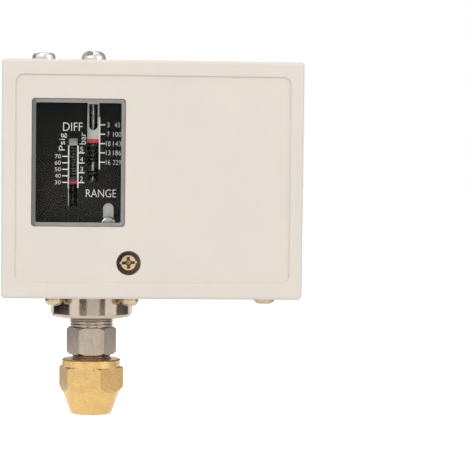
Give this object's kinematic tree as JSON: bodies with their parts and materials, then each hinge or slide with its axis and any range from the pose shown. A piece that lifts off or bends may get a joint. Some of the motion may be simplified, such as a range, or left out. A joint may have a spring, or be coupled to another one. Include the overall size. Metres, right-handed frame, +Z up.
{
  "type": "pressure switch",
  "caption": "Boxed bellows pressure switch with windowed scale, two adjusting screws on top and a flare nut connection below.",
  "frame": {"origin": "centre of the four tapped fixing holes, on the case's back face", "axes": "+X to the right seen from the front, +Y into the wall behind, +Z up"},
  "size_m": [0.0816, 0.042, 0.1012],
  "materials": {
    "cover_plastic": "fine satin moulding",
    "clear_plastic": "polished clear plastic",
    "zinc_steel": "bright zinc plate",
    "scale_black": "matt black, white figures",
    "screw_zinc": "yellowish zinc plate",
    "pointer_metal": "zinc plate, red end",
    "spring_steel": "dark oiled wire",
    "rubber_black": "matt rubber",
    "nickel": "nickel plate",
    "nickel_satin": "satin nickel",
    "brass": "turned brass",
    "bronze": "thin bellows bronze",
    "copper": "annealed copper",
    "base_plastic": "black thermoset",
    "silver_contact": "silver contact metal"
  },
  "bodies": {
    "housing": {"front_cover": "cover_plastic", "window_pane": "clear_plastic", "cover_screw": "screw_zinc", "cover_post": "zinc_steel", "rear_case": "zinc_steel", "case_floor": "zinc_steel", "cable_grommet": "rubber_black", "mechanism_frame": "zinc_steel", "scale_plate": "scale_black", "scale_plate_screws": "screw_zinc", "range_bush": "zinc_steel", "range_washer": "screw_zinc", "range_spring": "spring_steel", "diff_bush": "zinc_steel", "diff_washer": "screw_zinc", "diff_spring": "spring_steel", "diff_spring_washer": "zinc_steel", "lever_pin": "zinc_steel", "lever_spacers": "zinc_steel", "bellows_top_plate": "zinc_steel", "bellows_cup": "nickel", "bellows": "bronze", "element_screws": "screw_zinc", "pressure_connector": "nickel_satin", "switch_base": "base_plastic", "upper_terminal": "brass", "common_terminal": "brass", "lower_terminal": "brass", "terminal_screws": "screw_zinc", "contact_pin": "brass", "switch_bracket": "zinc_steel", "switch_rivets": "brass", "bracket_washers": "screw_zinc", "bracket_screw": "screw_zinc", "earth_washer": "screw_zinc", "earth_screw": "screw_zinc"},
    "range_screw": {"range_screw": "screw_zinc", "range_clip": "spring_steel"},
    "range_seat": {"range_seat": "zinc_steel", "range_pointer": "pointer_metal"},
    "diff_screw": {"diff_screw": "screw_zinc", "diff_clip": "spring_steel"},
    "diff_seat": {"diff_seat": "zinc_steel", "diff_pointer": "pointer_metal"},
    "main_lever": {"main_lever": "zinc_steel", "lever_spring_seat": "zinc_steel"},
    "push_rod": {"push_rod": "zinc_steel"},
    "diff_stem": {"diff_stem": "zinc_steel"},
    "contact_arm": {"contact_arm": "bronze", "moving_contacts": "silver_contact", "snap_leaf": "spring_steel"},
    "flare_bonnet": {"flare_bonnet": "copper"},
    "flare_nut": {"flare_nut": "brass"}
  },
  "joints": [
    {"name": "range_seat_slide", "type": "slide", "parent": "housing", "child": "range_seat", "axis": [0, 0, 1], "range_m": [-0.0056, 0.0042], "deforming": ["range_spring"]},
    {"name": "range_screw_turn", "type": "hinge", "parent": "housing", "child": "range_screw", "pos_m": [-0.0162, -0.0215, 0.03], "axis": [0, 0, 1], "range_deg": [-1893, 2523]},
    {"name": "diff_seat_slide", "type": "slide", "parent": "housing", "child": "diff_seat", "axis": [0, 0, 1], "range_m": [0, 0.0065], "deforming": ["diff_spring"]},
    {"name": "diff_screw_turn", "type": "hinge", "parent": "housing", "child": "diff_screw", "pos_m": [-0.03, -0.0215, 0.03], "axis": [0, 0, 1], "range_deg": [-3345.86, 0]},
    {"name": "lever_pivot", "type": "hinge", "parent": "housing", "child": "main_lever", "pos_m": [-0.0022, -0.0215, -0.0165], "axis": [0, 1, 0], "range_deg": [0, 3], "stiffness_Nm_per_rad": 0.6, "springref_deg": -1.15},
    {"name": "push_rod_slide", "type": "slide", "parent": "housing", "child": "push_rod", "axis": [0, 0, 1], "range_m": [0, 0.00074304], "deforming": ["bellows"]},
    {"name": "diff_stem_slide", "type": "slide", "parent": "housing", "child": "diff_stem", "axis": [0, 0, 1], "range_m": [0, 0.00102]},
    {"name": "contact_arm_pivot", "type": "hinge", "parent": "housing", "child": "contact_arm", "pos_m": [0.0275, -0.02, -0.007], "axis": [0, 1, 0], "range_deg": [-7.55, 0]},
    {"name": "flare_bonnet_slide", "type": "slide", "parent": "housing", "child": "flare_bonnet", "axis": [0, 0, -1], "range_m": [0, 0.00635]},
    {"name": "flare_nut_turn", "type": "hinge", "parent": "flare_bonnet", "child": "flare_nut", "pos_m": [-0.0162, -0.0215, -0.0565], "axis": [0, 0, -1], "range_deg": [0, 1803]}
  ],
  "couplings": [
    {"joint": "range_screw_turn", "follows": "range_seat_slide", "rad_per_m": -7854},
    {"joint": "diff_screw_turn", "follows": "diff_seat_slide", "rad_per_m": -8976},
    {"joint": "push_rod_slide", "follows": "lever_pivot", "m_per_rad": 0.014},
    {"joint": "diff_stem_slide", "follows": "lever_pivot", "m_per_rad": 0.01936},
    {"joint": "contact_arm_pivot", "follows": "lever_pivot", "ratio": -2.5},
    {"joint": "flare_nut_turn", "follows": "flare_bonnet_slide", "rad_per_m": 4947.4}
  ]
}
